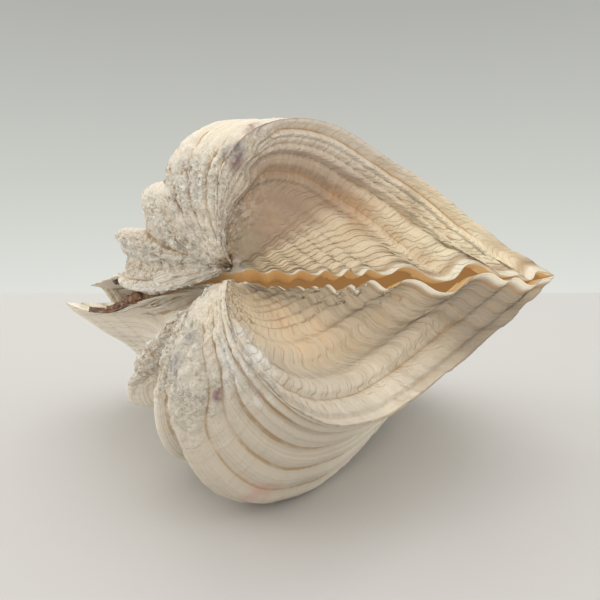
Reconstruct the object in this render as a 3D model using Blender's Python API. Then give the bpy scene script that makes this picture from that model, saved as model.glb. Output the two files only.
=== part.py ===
"""Clam shell: two fluted valves of a giant-clam relative, closed and resting on the lower one.

Each valve follows a growth law. The loop of its free edge is shrunk and turned about the hinge
axis, so the old edges of the shell stack up from the beak to today's margin. Units are metres.
"""
import bpy
import bmesh
import math
import numpy as np
from mathutils import Euler, Vector

# Margin loop in the plane where the two valves meet, seen from the beak. Tables hold pairs of
# a place, an angle in degrees or a share of the line, and a value
LUNULE_LENGTH = 0.110
RIGHT_HINGE = 0.110
LEFT_HINGE = 0.087
HINGE_ANGLE = 112.0
AXIS_ANGLE = math.radians(115.4)
MARGIN_RADII = [(0, 0.110), (12, 0.1124), (30, 0.129), (50, 0.135), (70, 0.132), (90, 0.1234), (103, 0.114),
                (112, 0.110)]
BEAK_SHARE = 0.03

# How far the hinge line and the wing beside it lift towards the left valve
HINGE_RISES = [(0.03, 0.0004), (0.3, 0.005), (0.6, 0.011), (0.8, 0.0155), (0.9, 0.0185), (1.0, 0.022)]
WING_RISES = [(0, 0), (50, 0), (80, 0), (90, 0.0033), (100, 0.0092), (107, 0.0165), (112, 0.022)]

# Growth law: share of today's size against the turn about the hinge axis in degrees
LEFT_SIZES = [(0, 1.0), (8, 0.820), (20, 0.689), (40, 0.548), (62, 0.463), (85, 0.371), (105, 0.292),
              (125, 0.199), (145, 0.080), (165, 0.030)]
RIGHT_SIZES = [(0, 1.0), (8, 0.829), (20, 0.668), (40, 0.534), (62, 0.463), (85, 0.396), (105, 0.294),
               (125, 0.186), (145, 0.080), (165, 0.030)]

# Radial folds at today's size, and how much the ribs swelled when the shell was young
LEFT_FOLDS = [(0, 0.0005), (4, -0.0006), (7.5, 0.0006), (11, -0.0008), (17, 0), (25, -0.0015), (30, 0),
              (41, 0.0015), (55, -0.0065), (69, 0.004), (79, -0.0055), (88, 0.006), (97, -0.004), (105, 0.005),
              (112, -0.002)]
RIGHT_FOLDS = [(0, 0.0025), (3.5, 0.0008), (6.5, -0.0009), (11, 0.0004), (16.5, -0.0012), (20, 0), (24, 0),
               (41, 0.0105), (50, 0.009), (61, -0.007), (72, 0.018), (82, -0.005), (91, 0.006), (102, -0.005),
               (112, 0.003)]
LEFT_SWELLS = [(0, 0), (42, 0.02), (55, -0.17), (69, 0.14), (79, 0.10), (88, 0.48), (97, 0.45), (105, 0.42),
               (112, 0.05)]
RIGHT_SWELLS = [(0, 0), (61, 0), (72, -0.13), (82, 0.11), (91, 0.38), (102, 0.26), (112, 0.03)]

# Waves of the free edge, up where the left valve has a crest, and teeth of the lunule edge
EDGE_WAVES = [(0, 0), (7, 0.0005), (11, 0.0015), (17, 0.003), (27, 0.0015), (41, -0.005), (57, 0.005),
              (70, -0.005), (80.5, 0.005), (91, -0.004), (101, 0.003), (112, 0)]
LUNULE_TEETH = [(0, 0), (0.34, -0.0003), (0.373, 0.0005), (0.424, -0.001), (0.489, 0.002), (0.607, -0.0026),
                (0.75, 0.0024), (0.81, -0.0006), (0.85, 0.0012), (0.905, -0.0016), (0.95, 0.0004), (1, 0)]

# Gap between the valves: at the beak, bowed open along the lunule, along the free edge and the hinge
BEAK_GAP = 0.0036
LUNULE_BOW = 0.0016
EDGE_GAP = 0.0004
EDGE_GAPS = [(0, 0.0004), (88, 0.0004), (103, 0.007), (112, 0.0004)]
HINGE_GAPS = [(0.03, 0.0036), (0.3, 0.003), (0.5, 0.005), (0.65, 0.009), (0.8, 0.006), (1.0, 0.0004)]

# Inside: edge widths, centre of the bowl in the margin plane and how far it turns
EDGE_WIDTH = 0.0048
HINGE_PLATE = 0.0090
BEAK_PLATE = 0.0140
BOWL_CENTRE = np.array([0.030, 0.060, 0.0])
BOWL_TURN = math.radians(66.0)

# Mesh resolution of one valve
LUNULE_COLUMNS = 24
EDGE_COLUMNS = 48
HINGE_COLUMNS = 14
OUTER_TURNS = np.radians([158, 150, 141, 131, 121, 110, 98, 86, 74, 62, 51, 41, 31, 22, 14, 7.5, 3, 0])
INNER_TURNS = np.radians([0, 4, 11, 20, 30, 40, 50, 58, 63.5])

# Dried ligament left in the hinge furrow: centre along the hinge and half sizes
STRIP_CENTRE = 0.65
STRIP_HALF = Vector((0.0215, 0.0026, 0.00065))
SCRAP_CENTRE = 0.72
SCRAP_HALF = Vector((0.0065, 0.0022, 0.0005))
CLEARANCE = 0.0003

# Resting pose and the worn flat spot under the right valve
REST_POSE = Euler((math.radians(-26.2), math.radians(3.4), math.radians(21.1)), "XYZ")
FLAT_DEPTH = 0.0010

AXIS = np.array([math.cos(AXIS_ANGLE), math.sin(AXIS_ANGLE), 0.0])
ACROSS = np.array([math.sin(AXIS_ANGLE), -math.cos(AXIS_ANGLE), 0.0])
HINGE = np.array([math.cos(math.radians(HINGE_ANGLE)), math.sin(math.radians(HINGE_ANGLE)), 0.0])
UP = np.array([0.0, 0.0, 1.0])


def smooth(value):
    """Ease from 0 to 1."""
    t = np.clip(value, 0.0, 1.0)
    return t * t * (3.0 - 2.0 * t)


def blend(table, x):
    """Run smoothly from each value of a table to the next, level at each."""
    places, values = np.array(table, dtype=float).T
    i = np.clip(np.searchsorted(places, x) - 1, 0, len(places) - 2)
    t = smooth((x - places[i]) / (places[i + 1] - places[i]))
    return values[i] * (1.0 - t) + values[i + 1] * t


def curve(table, x):
    """Cubic curve through the values of a table with slopes that never overshoot."""
    places, values = np.array(table, dtype=float).T
    steps = np.diff(places)
    slopes = np.diff(values) / steps
    same = slopes[1:] * slopes[:-1] > 0
    mean = 2 * slopes[1:] * slopes[:-1] / np.where(same, slopes[1:] + slopes[:-1], 1.0)
    tangents = np.concatenate([[slopes[0]], np.where(same, mean, 0.0), [slopes[-1]]])
    i = np.clip(np.searchsorted(places, x) - 1, 0, len(steps) - 1)
    t = (x - places[i]) / steps[i]
    start = values[i] * (1 + 2 * t) * (1 - t) ** 2 + tangents[i] * steps[i] * t * (1 - t) ** 2
    end = values[i + 1] * t * t * (3 - 2 * t) - tangents[i + 1] * steps[i] * t * t * (1 - t)
    return start + end


def hinge_line(share, side):
    """Points of one valve's hinge edge at shares of its length."""
    length = LEFT_HINGE if side > 0 else RIGHT_HINGE
    points = np.outer(share * length, HINGE)
    points[:, 2] = curve(HINGE_RISES, share) + side * (curve(HINGE_GAPS, share) - BEAK_GAP) / 2
    return points


def margin(side):
    """Points of the margin loop, their angle, whether on the free edge, and the edge width."""
    front = np.linspace(BEAK_SHARE, 1.0, LUNULE_COLUMNS, endpoint=False)
    angle = np.linspace(0.0, HINGE_ANGLE, EDGE_COLUMNS, endpoint=False)
    back = np.linspace(1.0, BEAK_SHARE, HINGE_COLUMNS)
    length = LEFT_HINGE if side > 0 else RIGHT_HINGE
    radius = curve(MARGIN_RADII, angle) * (1 - (1 - length / RIGHT_HINGE) * smooth((angle - 92) / 20))
    lunule = np.outer(front * LUNULE_LENGTH, [1.0, 0.0, 0.0])
    edge = np.stack([radius * np.cos(np.radians(angle)), radius * np.sin(np.radians(angle)), 0 * angle], 1)
    lunule_gap = EDGE_GAP + (BEAK_GAP - EDGE_GAP) * (1 - front ** 3) + LUNULE_BOW * np.sin(math.pi * front)
    lunule[:, 2] = blend(LUNULE_TEETH, front) + side * (lunule_gap - BEAK_GAP) / 2
    edge[:, 2] = curve(WING_RISES, angle) + blend(EDGE_WAVES, angle)
    edge[:, 2] += side * (blend(EDGE_GAPS, angle) - BEAK_GAP) / 2
    widths = [BEAK_PLATE + (EDGE_WIDTH - BEAK_PLATE) * smooth(front / 0.35)]
    widths.append(EDGE_WIDTH + (HINGE_PLATE - EDGE_WIDTH) * smooth((angle - 85) / 27))
    widths.append(BEAK_PLATE + (HINGE_PLATE - BEAK_PLATE) * smooth(back / 0.4))
    angles = np.concatenate([0 * front, angle, 0 * back + HINGE_ANGLE])
    free = np.concatenate([0 * front, 0 * angle + 1, 0 * back])
    return np.concatenate([lunule, edge, hinge_line(back, side)]), angles, free, np.concatenate(widths)


def swept(points, turn, size, side):
    """Shrink margin points towards the beak and turn them about the hinge axis."""
    along = points @ AXIS
    out = points @ ACROSS
    rise = points @ UP
    ahead = out * math.cos(turn) - side * rise * math.sin(turn)
    height = side * out * math.sin(turn) + rise * math.cos(turn)
    return size * (np.outer(along, AXIS) + np.outer(ahead, ACROSS) + np.outer(height, UP))


def inset(points, widths):
    """Points moved towards the centre of the bowl by the width of the edge."""
    inward = BOWL_CENTRE - points
    return points + inward * (widths / np.linalg.norm(inward, axis=1))[:, None]


def valve_rings(side):
    """Rings of one valve from the beak over the outside, round the edge and into the bowl."""
    points, angles, free, widths = margin(side)
    sizes = LEFT_SIZES if side > 0 else RIGHT_SIZES
    logs = [(math.radians(turn), math.log(size)) for turn, size in sizes]
    folds = free * blend(LEFT_FOLDS if side > 0 else RIGHT_FOLDS, angles)
    swells = free * blend(LEFT_SWELLS if side > 0 else RIGHT_SWELLS, angles)
    reach = np.linalg.norm(points, axis=1)
    rings = []
    for turn in OUTER_TURNS:
        ramp = min(turn / math.radians(12), 1.0)
        young = smooth((turn - math.radians(60)) / math.radians(55)) * smooth((math.radians(152) - turn) / 0.35)
        grown = points * ((1 + ramp * folds / reach) * (1 + young * swells))[:, None]
        rings.append(swept(grown, turn, math.exp(curve(logs, turn)), side))
    for turn in INNER_TURNS:
        ramp = min(turn / math.radians(12), 1.0)
        fluted = points * (1 + 0.7 * ramp * folds / reach)[:, None]
        closing = math.sqrt(1 - (turn / BOWL_TURN) ** 2.4)
        section = BOWL_CENTRE + (inset(fluted, widths) - BOWL_CENTRE) * closing
        rings.append(swept(section, turn, math.exp(curve(logs, turn)), side))
    beak = np.zeros((1, 3))
    bowl = swept(BOWL_CENTRE[None], BOWL_TURN, math.exp(curve(logs, BOWL_TURN)), side)
    lift = UP * side * BEAK_GAP / 2
    return [ring + lift for ring in rings], (beak + lift)[0], (bowl + lift)[0]


def sphere_grid(columns, rows):
    """Unit sphere mesh and the row and column of each of its points."""
    bm = bmesh.new()
    bmesh.ops.create_uvsphere(bm, u_segments=columns, v_segments=rows, radius=1.0)
    cells = []
    for vert in bm.verts:
        row = round(math.acos(max(-1.0, min(1.0, vert.co.z))) / math.pi * rows)
        column = round(math.atan2(vert.co.y, vert.co.x) / math.tau * columns) % columns
        cells.append((vert, row, column))
    return bm, cells


def finish(bm, name, color, roughness):
    """Make a named object with its own material, its faces pointing outwards."""
    if bm.calc_volume(signed=True) < 0:
        bmesh.ops.reverse_faces(bm, faces=bm.faces)
    mesh = bpy.data.meshes.new(name)
    bm.to_mesh(mesh)
    bm.free()
    part = bpy.data.objects.new(name, mesh)
    bpy.context.scene.collection.objects.link(part)
    material = bpy.data.materials.new(name + "_material")
    material.use_nodes = True
    shader = material.node_tree.nodes["Principled BSDF"]
    shader.inputs["Base Color"].default_value = color
    shader.inputs["Roughness"].default_value = roughness
    mesh.materials.append(material)
    return part


def valve(name, side, color):
    """One valve: a sphere whose rows become the rings of the growth law."""
    rings, beak, bowl = valve_rings(side)
    bm, cells = sphere_grid(len(rings[0]), len(rings) + 1)
    for vert, row, column in cells:
        if row == 0:
            vert.co = Vector(beak)
        elif row > len(rings):
            vert.co = Vector(bowl)
        else:
            vert.co = Vector(rings[row - 1][column])
    return finish(bm, name, color, 0.75)


def ligament(name, side, centre, half, color):
    """A dried flake of ligament lying on the hinge plate of one valve."""
    bm, cells = sphere_grid(14, 16)
    length = LEFT_HINGE if side > 0 else RIGHT_HINGE
    for vert, row, column in cells:
        ragged = 1 + 0.22 * math.sin(9 * vert.co.z + 2 * side) + 0.12 * math.sin(23 * vert.co.z)
        share = np.array([centre + vert.co.z * half.x / length])
        depth = np.array([0.0008 - vert.co.x * half.y * ragged])
        spot = inset(hinge_line(share, side), depth)[0]
        level = side * (BEAK_GAP / 2 - CLEARANCE - half.z) + vert.co.y * half.z
        vert.co = Vector(spot + UP * level)
    return finish(bm, name, color, 0.8)


def rest(parts):
    """Turn the shell into its resting pose with the origin under its middle."""
    for part in parts:
        for vert in part.data.vertices:
            vert.co.rotate(REST_POSE)
    points = np.array([vert.co for part in parts for vert in part.data.vertices])
    low = points.min(axis=0)
    high = points.max(axis=0)
    shift = Vector(((low[0] + high[0]) / 2, (low[1] + high[1]) / 2, low[2] + FLAT_DEPTH))
    for part in parts:
        for vert in part.data.vertices:
            vert.co -= shift


def wear_flat(part):
    """Cut the small flat spot on which the shell rests."""
    bpy.ops.mesh.primitive_cube_add(size=0.2, location=(0.0, 0.0, -0.1))
    cutter = bpy.context.object
    cutter.name = "flat_cutter"
    cutter.hide_render = True
    cutter.display_type = "WIRE"
    cut = part.modifiers.new("worn_flat", "BOOLEAN")
    cut.operation = "DIFFERENCE"
    cut.solver = "EXACT"
    cut.object = cutter


for old in list(bpy.data.objects):
    bpy.data.objects.remove(old)

left_valve = valve("left_valve", 1, (0.86, 0.79, 0.67, 1.0))
right_valve = valve("right_valve", -1, (0.86, 0.80, 0.69, 1.0))
strip = ligament("ligament_strip", -1, STRIP_CENTRE, STRIP_HALF, (0.20, 0.09, 0.05, 1.0))
scrap = ligament("ligament_scrap", 1, SCRAP_CENTRE, SCRAP_HALF, (0.16, 0.13, 0.11, 1.0))
rest([left_valve, right_valve, strip, scrap])
wear_flat(right_valve)
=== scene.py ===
"""Clam shell: two fluted valves grown by rule, the dried ligament, the surface, light and camera."""
import bpy
import bmesh
import math
from types import SimpleNamespace
from mathutils import Euler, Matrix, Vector, noise


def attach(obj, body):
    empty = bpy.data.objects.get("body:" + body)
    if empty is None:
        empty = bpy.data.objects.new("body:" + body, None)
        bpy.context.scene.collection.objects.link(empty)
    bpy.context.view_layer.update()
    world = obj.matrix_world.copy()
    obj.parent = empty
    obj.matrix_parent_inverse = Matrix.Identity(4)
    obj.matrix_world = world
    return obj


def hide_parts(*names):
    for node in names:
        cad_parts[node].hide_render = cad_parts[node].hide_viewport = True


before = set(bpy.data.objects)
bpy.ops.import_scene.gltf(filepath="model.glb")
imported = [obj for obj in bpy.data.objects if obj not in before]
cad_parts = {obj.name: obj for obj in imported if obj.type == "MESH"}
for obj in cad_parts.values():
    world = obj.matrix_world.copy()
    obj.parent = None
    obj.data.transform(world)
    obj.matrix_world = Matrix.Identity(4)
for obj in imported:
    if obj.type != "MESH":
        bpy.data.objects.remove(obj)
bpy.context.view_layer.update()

MM = 0.001
DEGREE = math.radians(1)

# Margin loop in the plane where the valves meet, seen from the beak. Tables hold pairs of a place,
# an angle in degrees or a share of the line, and a value; lengths in them are in millimetres
LUNULE_LENGTH = 110.0
RIGHT_HINGE = 110.0
LEFT_HINGE = 87.0
HINGE_ANGLE = 112.0
AXIS_ANGLE = 115.4
BEAK_SHARE = 0.03
MARGIN_RADII = [(0, 110.0), (12, 112.4), (30, 129.0), (50, 135.0), (70, 132.0), (90, 123.4),
                (103, 114.0), (112, 110.0)]
HINGE_RISES = [(0.03, 0.4), (0.3, 5.0), (0.6, 11.0), (0.8, 15.5), (0.9, 18.5), (1.0, 22.0)]
WING_RISES = [(0, 0), (50, 0), (80, 0), (90, 3.3), (100, 9.2), (107, 16.5), (112, 22.0)]

# Growth law: share of today's size against the turn about the hinge axis in degrees; then the last
# turns of the outside and of the inside, and the steps that space the rows along the keel
LEFT_SIZES = [(0, 1.0), (8, 0.820), (20, 0.689), (40, 0.548), (62, 0.463), (85, 0.371), (105, 0.292),
              (125, 0.199), (145, 0.080), (165, 0.030)]
RIGHT_SIZES = [(0, 1.0), (8, 0.829), (20, 0.668), (40, 0.534), (62, 0.463), (85, 0.396), (105, 0.294),
               (125, 0.186), (145, 0.080), (165, 0.030)]
LAST_TURN = 158.0
BOWL_TURN = 66.0
TURN_POINTS = 40
WALK_STEPS = 400
LEAST_STEP = 0.0006

# Radial folds by angle at today's size, and how much the ribs swelled when the shell was young
LEFT_FOLDS = [(0, 0.5), (4, -0.6), (7.5, 0.6), (11, -0.8), (17, 0), (25, -1.5), (30, 0), (41, 1.5),
              (55, -6.5), (69, 4), (79, -5.5), (88, 6), (97, -4), (105, 5), (112, -2)]
RIGHT_FOLDS = [(0, 2.5), (3.5, 0.8), (6.5, -0.9), (11, 0.4), (16.5, -1.2), (20, 0), (24, 0), (41, 10.5),
               (50, 9), (61, -7), (72, 18), (82, -5), (91, 6), (102, -5), (112, 3)]
FOLD_START = 12.0
INNER_FOLD_LOSS = 0.3
LEFT_SWELLS = [(0, 0), (42, 0.02), (55, -0.17), (69, 0.14), (79, 0.10), (88, 0.48), (97, 0.45),
               (105, 0.42), (112, 0.05)]
RIGHT_SWELLS = [(0, 0), (61, 0), (72, -0.13), (82, 0.11), (91, 0.38), (102, 0.26), (112, 0.03)]
SWELL_TURNS = (60, 115)
SWELL_FADE = (132, 152)

# Waves of the free edge, up where the left valve has a crest
EDGE_WAVES = [(0, 0), (7, 0.5), (11, 1.5), (17, 3.0), (27, 1.5), (41, -5), (57, 5), (70, -5), (80.5, 5),
              (91, -4), (101, 3), (112, 0)]

# Teeth of the lunule edge: share of its length, height
LEFT_TEETH = [(0, 0), (0.05, 0.51), (0.08, -0.68), (0.11, 0.51), (0.15, -0.85), (0.18, 0.51),
              (0.22, -0.85), (0.25, 0.68), (0.285, -1.19), (0.315, 0.85), (0.345, -1.02), (0.375, 1.02),
              (0.42, -0.7), (0.49, 2), (0.615, -2.9), (0.71, 2.3), (0.78, -0.1), (0.833, -1.6),
              (0.87, -0.9), (0.905, -2.4), (0.945, 1), (1, 0.4)]
RIGHT_TEETH = [(0, 0), (0.046, 0.85), (0.095, -0.68), (0.11, 0.34), (0.134, -0.85), (0.168, 0.34),
               (0.188, -0.85), (0.208, 0.51), (0.228, -0.51), (0.247, 1.02), (0.281, -1.7),
               (0.312, 1.02), (0.342, -1.36), (0.373, 2.38), (0.424, -0.6), (0.489, 2.3), (0.612, -2.9),
               (0.755, 2.6), (0.825, -0.4), (0.852, 0.6), (0.905, -2.4), (0.95, -0.6), (1, 0.2)]

# Ridges on the lunule by place across it, height in millimetres; places past 1 are the crowded
# ridges of the young shell
LEFT_RIBLETS = [(0, 0), (0.05, 0.12), (0.085, -0.15), (0.115, 0.15), (0.15, -0.2), (0.185, 0.2),
                (0.22, -0.25), (0.25, 0.25), (0.285, -0.3), (0.315, 0.3), (0.345, -0.35), (0.375, 0.35),
                (0.42, -0.4), (0.455, 0.2), (0.50, 0.6), (0.545, 0.5), (0.58, -0.3), (0.605, 0.2),
                (0.645, -1.3), (0.69, 0.7), (0.715, 0.6), (0.742, -0.8), (0.78, 0.9), (0.81, 0.8),
                (0.838, -0.8), (0.86, 0.3), (0.877, -0.3), (0.905, 0.5), (0.932, -0.9), (0.965, 0.6),
                (1.0, 0.9), (1.06, -0.3), (1.12, 0.5), (1.2, -0.4), (1.28, 0.4), (1.36, -0.5),
                (1.42, 0.4)]
RIGHT_RIBLETS = [(0, 0), (0.06, 0.12), (0.10, -0.15), (0.135, 0.15), (0.17, -0.2), (0.21, 0.2),
                 (0.25, -0.2), (0.285, 0.25), (0.32, -0.25), (0.36, 0.25), (0.39, -0.3), (0.43, 0.25),
                 (0.47, -0.3), (0.52, 0.3), (0.57, 0), (0.62, -0.8), (0.67, -0.1), (0.70, -0.3),
                 (0.735, 0.4), (0.775, 1.0), (0.81, 0.5), (0.838, -0.9), (0.875, 0.2), (0.91, 0.8),
                 (0.945, 0.3), (0.96, -0.4), (0.985, 0.5), (1.0, 0.8), (1.26, 0.4)]

# How far the ridges have moved across the lunule, by turn
LEFT_DRIFT = [(0, 0), (76, 0), (90, 0.07), (104, 0.40), (158, 0.42)]
RIGHT_DRIFT = [(0, 0.26), (12, 0.14), (25, 0.08), (45, 0.02), (60, 0), (158, 0)]

# Narrow dirt-filled furrows: place and depth in millimetres, across the lunule, by angle around
# the outside, and by age across the hinge side
LEFT_CREASES = [(0.58, 0.25), (0.612, 0.3), (0.648, 0.8), (0.696, 0.2), (0.722, 0.25), (0.745, 0.6),
                (0.836, 0.5), (0.857, 0.25), (0.878, 0.35), (0.932, 0.8), (1.05, 0.3), (1.18, 0.35),
                (1.30, 0.35)]
RIGHT_CREASES = [(0.58, 0.2), (0.66, 0.25), (0.705, 0.35), (0.84, 0.7), (0.865, 0.25), (0.955, 0.5),
                 (1.1, 0.2)]
LEFT_FURROWS = [(3.5, 0.5), (11, 0.6), (17.5, 0.3), (24.2, 0.6), (31, 0.3), (41, 0.7), (49, 0.35),
                (59, 0.3), (71, 0.25), (80, 0.6), (90, 0.2), (94, 0.2), (101, 0.4)]
RIGHT_FURROWS = [(2.2, 0.5), (7.2, 0.65), (12.5, 0.2), (17.2, 0.6), (24.8, 0.5), (32, 0.4), (40, 0.2),
                 (48, 0.15), (66, 0.6), (78, 0.5), (88, 0.3), (96, 0.5), (104, 0.3)]
HINGE_FURROWS = [(0.22, 0.35), (0.45, 0.5), (0.72, 0.4), (1.0, 0.6), (1.3, 0.5), (1.6, 0.6),
                 (1.95, 0.5), (2.3, 0.4)]
CREASE_HALF = 0.008
FURROW_HALF = 1.15
SHOULDER_HALF = 3.6
HINGE_FURROW_HALF = 0.05
CREASE_DEPTH = 1.1
FURROW_DEPTH = 1.5
SHOULDER_DEPTH = 3.2
CREASE_TURNS = (3, 14)
FURROW_TURNS = (6, 24)
FURROW_FADE = (135, 150)

# How far the furrows lean towards the hinge on the old shell, by turn; the left valve's hardly do
LEFT_LEAN = [(0, 0), (158, 0.01)]
RIGHT_LEAN = [(0, 0), (100, 0), (118, 7.5), (158, 7.5)]

# Deep valleys between the old ribs, by angle, and across the hinge side, by age: place and depth
# in millimetres
LEFT_VALLEYS = [(55, 0.8), (79.5, 2.2), (96.5, 2.2)]
RIGHT_VALLEYS = [(61, 1.0), (82, 2.0), (102, 2.0)]
HINGE_VALLEYS = [(0.34, 1.6), (0.75, 1.6), (1.15, 1.2), (1.6, 1.0)]
VALLEY_HALF = 8.0
HINGE_VALLEY_HALF = 0.22
VALLEY_TURNS = (30, 90)
VALLEY_FADE = (135, 152)

# How far the edge hangs below the plane of the margin near the beak: along the lunule and along
# the hinge
LEFT_SAG = [(0.03, 1.2), (0.3, 1.9), (0.45, 1.9), (0.65, 0.9), (0.8, 0), (1, 0)]
LEFT_HINGE_SAG = [(0.03, 1.2), (0.15, -0.6), (0.3, -3.8), (0.5, -4.8), (0.7, -1.2), (1, 0)]
RIGHT_SAG = [(0.03, 1.9), (0.35, 1.7), (0.5, 1.3), (0.65, 0.4), (0.8, 0), (1, 0)]
RIGHT_HINGE_SAG = [(0.03, 1.9), (0.2, 1.0), (0.4, 0), (1, 0)]

# Strong growth rests: age, as how many times the shell has since grown e-fold, and step in millimetres
RESTS = [(0, 0), (0.03, 0.35), (0.037, -0.75), (0.07, 0.2), (0.12, 0.35), (0.127, -0.55), (0.20, 0.15),
         (0.27, 0.35), (0.28, -0.5), (0.40, 0.2), (0.52, 0.3), (0.53, -0.4), (0.7, 0.2), (1, 0)]

# Growth lines: rows between two lines, how far they wander in rows, how uneven their spacing is, and
# the spans over which the slow and the fast lines step up
LINE_ROWS = 9.4
LINE_WANDER = 1.3
LINE_UNEVEN = 1.1
SLOW_STEP = (0.0, 0.22)
FAST_STEP = (0.0, 0.32)

# Gap between the valves: at the beak, bowed open along the lunule, along the free edge and the hinge
BEAK_GAP = 3.6
LUNULE_BOW = 1.6
EDGE_GAP = 0.4
EDGE_GAPS = [(0, 0.4), (88, 0.4), (103, 7.0), (112, 0.4)]
HINGE_GAPS = [(0.03, 3.6), (0.3, 3.0), (0.5, 5.0), (0.65, 9.0), (0.8, 6.0), (1.0, 0.4)]

# Inner rim: widths of the lip, of the hinge plate and of the plate below the beak, the point towards
# which the bowl closes, and the powers that bend the rim and the bowl
EDGE_WIDTH = 4.8
HINGE_PLATE = 9.0
BEAK_PLATE = 14.0
BOWL_CENTRE = (30.0, 60.0)
RIM_BEND = 1.8
BOWL_PACE = 1.3
BOWL_ROUND = 2.4

# Crust and grain: noise scales per metre, heights in millimetres, and the share of the crumbs that
# sound shell has
CRUMB_SCALE = 330.0
LUMP_SCALE = 75.0
CRUMB_HEIGHT = 4.2
LUMP_HEIGHT = 0.9
SOUND_SHELL = 0.12

REST_POSE = Euler((math.radians(-26.2), math.radians(3.4), math.radians(21.1)), "XYZ")
REST_SHIFT = Vector((-0.0131359, -0.0472551, 0.067099))

# Grid of one valve: columns along the margin, rows from the beak over the edge into the bowl
LUNULE_COLUMNS = 126
EDGE_COLUMNS = 164
HINGE_COLUMNS = 20
BEAK_COLUMNS = 6
OUTER_ROWS = 272
RIM_ROWS = 6
INNER_ROWS = 26
COLUMNS = LUNULE_COLUMNS + EDGE_COLUMNS + HINGE_COLUMNS + BEAK_COLUMNS
ROWS = OUTER_ROWS + RIM_ROWS + INNER_ROWS
LUNULE_END = LUNULE_COLUMNS / COLUMNS
HINGE_START = (LUNULE_COLUMNS + EDGE_COLUMNS) / COLUMNS
BEAK_START = 1 - BEAK_COLUMNS / COLUMNS
OUTER_END = OUTER_ROWS / ROWS
RIM_END = (OUTER_ROWS + RIM_ROWS) / ROWS
HALF_COLUMN = 0.5 / COLUMNS
HALF_ROW = 0.5 / ROWS

# What the growth tree stores on the mesh for the shell's material
STORED = ("age", "front", "ridge", "angle", "edge", "inside", "furrow", "path", "height", "turn", "inset",
          "phase", "crowded", "worn", "groove")


class Wire:
    """A value in a node tree; arithmetic on it adds Math nodes."""

    def __init__(self, graph, socket):
        self.graph = graph
        self.socket = socket

    def math(self, operation, *others):
        return self.graph.node("ShaderNodeMath", {"operation": operation}, dict(enumerate((self,) + others)))

    def behind(self, operation, other):
        return self.graph.node("ShaderNodeMath", {"operation": operation}, {0: other, 1: self})

    def __add__(self, other):
        return self.math("ADD", other)

    def __radd__(self, other):
        return self.behind("ADD", other)

    def __sub__(self, other):
        return self.math("SUBTRACT", other)

    def __rsub__(self, other):
        return self.behind("SUBTRACT", other)

    def __mul__(self, other):
        return self.math("MULTIPLY", other)

    def __rmul__(self, other):
        return self.behind("MULTIPLY", other)

    def __truediv__(self, other):
        return self.math("DIVIDE", other)

    def __pow__(self, other):
        return self.math("POWER", other)

    def __gt__(self, other):
        return self.math("GREATER_THAN", other)

    def __lt__(self, other):
        return self.math("LESS_THAN", other)

    def low(self, other):
        return self.math("MINIMUM", other)

    def high(self, other):
        return self.math("MAXIMUM", other)

    def smooth(self, start, end):
        """Ease from 0 at start to 1 at end."""
        return self.graph.node("ShaderNodeMapRange", {"interpolation_type": "SMOOTHSTEP"},
                               {0: self, 1: start, 2: end})

    def span(self, start, end):
        """Run straight from 0 at start to 1 at end."""
        return self.graph.node("ShaderNodeMapRange", {}, {0: self, 1: start, 2: end})


class Graph:
    """A node tree that is written down as expressions."""

    def __init__(self, tree):
        self.tree = tree

    def node(self, kind, settings=None, sockets=None, out=0):
        """Add one node: its settings first, then the values or links of its sockets."""
        made = self.tree.nodes.new(kind)
        for name, value in (settings or {}).items():
            if name == "stops":
                fill_ramp(made.color_ramp, value)
            elif name == "points":
                fill_curve(made.mapping, value)
            else:
                setattr(made, name, value)
        for key, value in (sockets or {}).items():
            if isinstance(value, Wire):
                self.tree.links.new(value.socket, made.inputs[key])
            else:
                made.inputs[key].default_value = value
        return Wire(self, made.outputs[out])

    def curve(self, factor, points):
        """Smooth curve through (place, value) points, whatever their ranges."""
        places = [place for place, value in points]
        values = [value for place, value in points]
        low, high = min(values), max(values)
        start, end = min(places), max(places)
        scaled = [((place - start) / (end - start), (value - low) / (high - low)) for place, value in points]
        share = (factor - start) / (end - start)
        drawn = self.node("ShaderNodeFloatCurve", {"points": scaled}, {"Factor": 1.0, "Value": share})
        return drawn * (high - low) + low

    def vector(self, x, y, z=0.0):
        return self.node("ShaderNodeCombineXYZ", {}, {0: x, 1: y, 2: z})

    def split(self, vector):
        """The three parts of a vector."""
        first = self.node("ShaderNodeSeparateXYZ", {}, {0: vector})
        return [Wire(self, output) for output in first.socket.node.outputs[:3]]

    def scaled(self, vector, factor):
        return self.node("ShaderNodeVectorMath", {"operation": "SCALE"}, {0: vector, "Scale": factor})

    def noise(self, vector, scale, detail=2.0, roughness=0.5):
        return self.node("ShaderNodeTexNoise", {}, {"Vector": vector, "Scale": scale, "Detail": detail,
                                                    "Roughness": roughness})

    def noise_line(self, place, detail=2.0, roughness=0.5):
        """Noise along one number."""
        return self.node("ShaderNodeTexNoise", {"noise_dimensions": "1D"},
                         {"W": place, "Scale": 1.0, "Detail": detail, "Roughness": roughness})

    def noise_sheet(self, x, y, detail=2.0, roughness=0.5):
        """Noise over two numbers."""
        place = self.vector(x, y)
        return self.node("ShaderNodeTexNoise", {"noise_dimensions": "2D"},
                         {"Vector": place, "Scale": 1.0, "Detail": detail, "Roughness": roughness})

    def mix(self, factor, first, second):
        """Blend two colours."""
        return self.node("ShaderNodeMix", {"data_type": "RGBA"}, {0: factor, 6: first, 7: second}, out=2)


def fill_curve(mapping, points):
    """Put points on a curve node."""
    line = mapping.curves[0]
    line.points[0].location = points[0]
    line.points[1].location = points[-1]
    for place, value in points[1:-1]:
        line.points.new(place, value)
    for point in line.points:
        point.handle_type = "AUTO_CLAMPED"
    mapping.update()


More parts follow.
